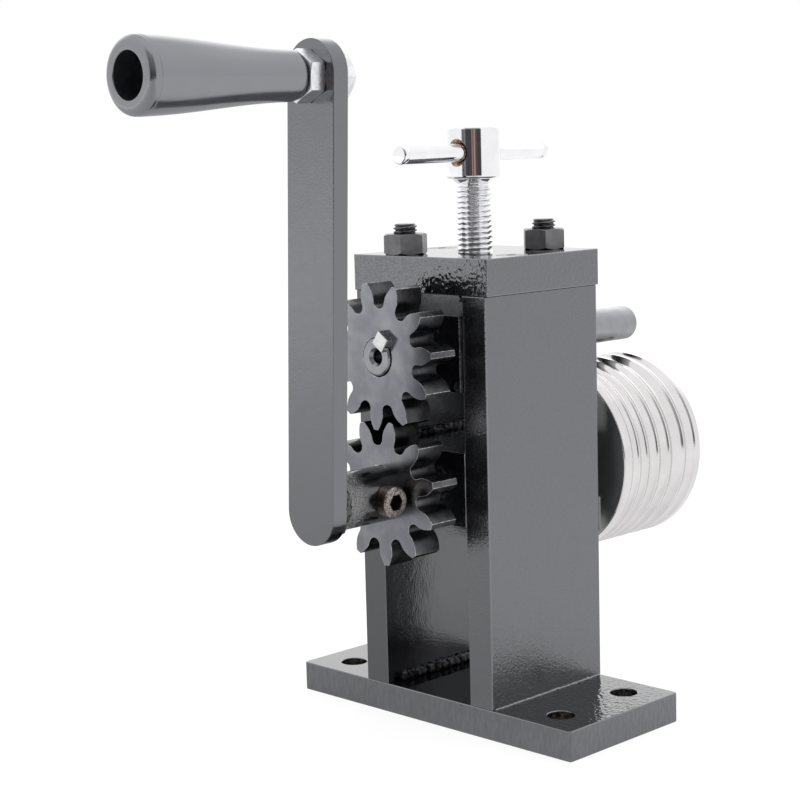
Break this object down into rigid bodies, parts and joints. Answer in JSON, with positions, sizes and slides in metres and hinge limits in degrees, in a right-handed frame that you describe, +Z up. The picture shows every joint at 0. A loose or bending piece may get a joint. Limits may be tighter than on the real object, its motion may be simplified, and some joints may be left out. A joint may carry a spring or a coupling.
{
  "type": "ring bending machine",
  "caption": "Hand cranked bench roll for bending rings: a grooved roller and a plain forming shaft, geared together, with a screw that sets the gap.",
  "frame": {"origin": "centre of the underside of the base plate", "axes": "+Z up, X along the base plate, +Y from the crank towards the grooved roller"},
  "size_m": [0.123, 0.2304, 0.2243],
  "materials": {
    "hammered_paint": "semi gloss dark grey hammered paint",
    "blackened_steel": "satin blackened steel",
    "bright_steel": "bright ground steel",
    "polished_chrome": "polished",
    "black_oxide": "black oxide, slightly worn",
    "zinc": "bright zinc plating",
    "bronze": "plain bearing bronze",
    "black_plastic": "glossy black"
  },
  "bodies": {
    "frame": {"base_plate": "hammered_paint", "left_post": "hammered_paint", "right_post": "hammered_paint", "top_plate": "hammered_paint", "top_plate_screws": "black_oxide", "lower_bearing_block": "hammered_paint", "lower_front_bush": "bronze", "lower_rear_bush": "bronze", "base_welds": "hammered_paint", "block_welds": "hammered_paint", "rear_keeper_strip": "hammered_paint"},
    "carriage": {"upper_bearing_block": "hammered_paint", "upper_front_bush": "bronze", "upper_rear_bush": "bronze", "hanger_studs": "black_oxide"},
    "upper_roll": {"upper_shaft": "blackened_steel", "upper_gear": "blackened_steel", "upper_gear_key": "bright_steel", "upper_spacer": "blackened_steel", "upper_retaining_ring": "bright_steel"},
    "crank_train": {"lower_shaft": "blackened_steel", "lower_gear": "blackened_steel", "lower_gear_key": "bright_steel", "lower_front_spacer": "blackened_steel", "lower_rear_spacer": "blackened_steel", "grooved_roller": "polished_chrome", "roller_key": "bright_steel", "roller_end_washer": "zinc", "roller_end_screw": "zinc", "crank_arm": "hammered_paint", "crank_boss": "hammered_paint", "boss_weld": "hammered_paint", "clamp_screw": "black_oxide", "handle_bolt": "zinc", "handle_nuts": "zinc"},
    "grip": {"handle_grip": "black_plastic"},
    "screw": {"pressure_screw": "polished_chrome"},
    "bar": {"tommy_bar": "polished_chrome"},
    "left_nut": {"left_stud_nut": "black_oxide"},
    "right_nut": {"right_stud_nut": "black_oxide"}
  },
  "joints": [
    {"name": "crank_spin", "type": "hinge", "parent": "frame", "child": "crank_train", "pos_m": [0, 0, 0.0813], "axis": [0, 1, 0], "continuous": true},
    {"name": "block_slide", "type": "slide", "parent": "frame", "child": "carriage", "axis": [0, 0, 1], "range_m": [-0.0035, 0.002]},
    {"name": "upper_spin", "type": "hinge", "parent": "carriage", "child": "upper_roll", "pos_m": [0, 0, 0.1253], "axis": [0, 1, 0], "continuous": true},
    {"name": "grip_spin", "type": "hinge", "parent": "crank_train", "child": "grip", "pos_m": [0.00621, -0.1138, 0.21305], "axis": [0, 1, 0], "continuous": true},
    {"name": "screw_turn", "type": "hinge", "parent": "carriage", "child": "screw", "pos_m": [0, 0, 0.156], "axis": [0, 0, 1], "range_deg": [-722, 413]},
    {"name": "bar_slide", "type": "slide", "parent": "screw", "child": "bar", "axis": [0.0872, -0.9962, 0], "range_m": [-0.025, 0.025]},
    {"name": "left_nut_turn", "type": "hinge", "parent": "frame", "child": "left_nut", "pos_m": [-0.0129, -0.0199, 0.156], "axis": [0, 0, 1], "range_deg": [-578, 1010]},
    {"name": "right_nut_turn", "type": "hinge", "parent": "frame", "child": "right_nut", "pos_m": [0.0129, 0.0199, 0.156], "axis": [0, 0, 1], "range_deg": [-578, 1010]}
  ],
  "couplings": [
    {"joint": "upper_spin", "follows": "crank_spin", "ratio": -1},
    {"joint": "screw_turn", "follows": "block_slide", "rad_per_m": 3590.4},
    {"joint": "left_nut_turn", "follows": "block_slide", "rad_per_m": -5026.5},
    {"joint": "right_nut_turn", "follows": "block_slide", "rad_per_m": -5026.5}
  ]
}
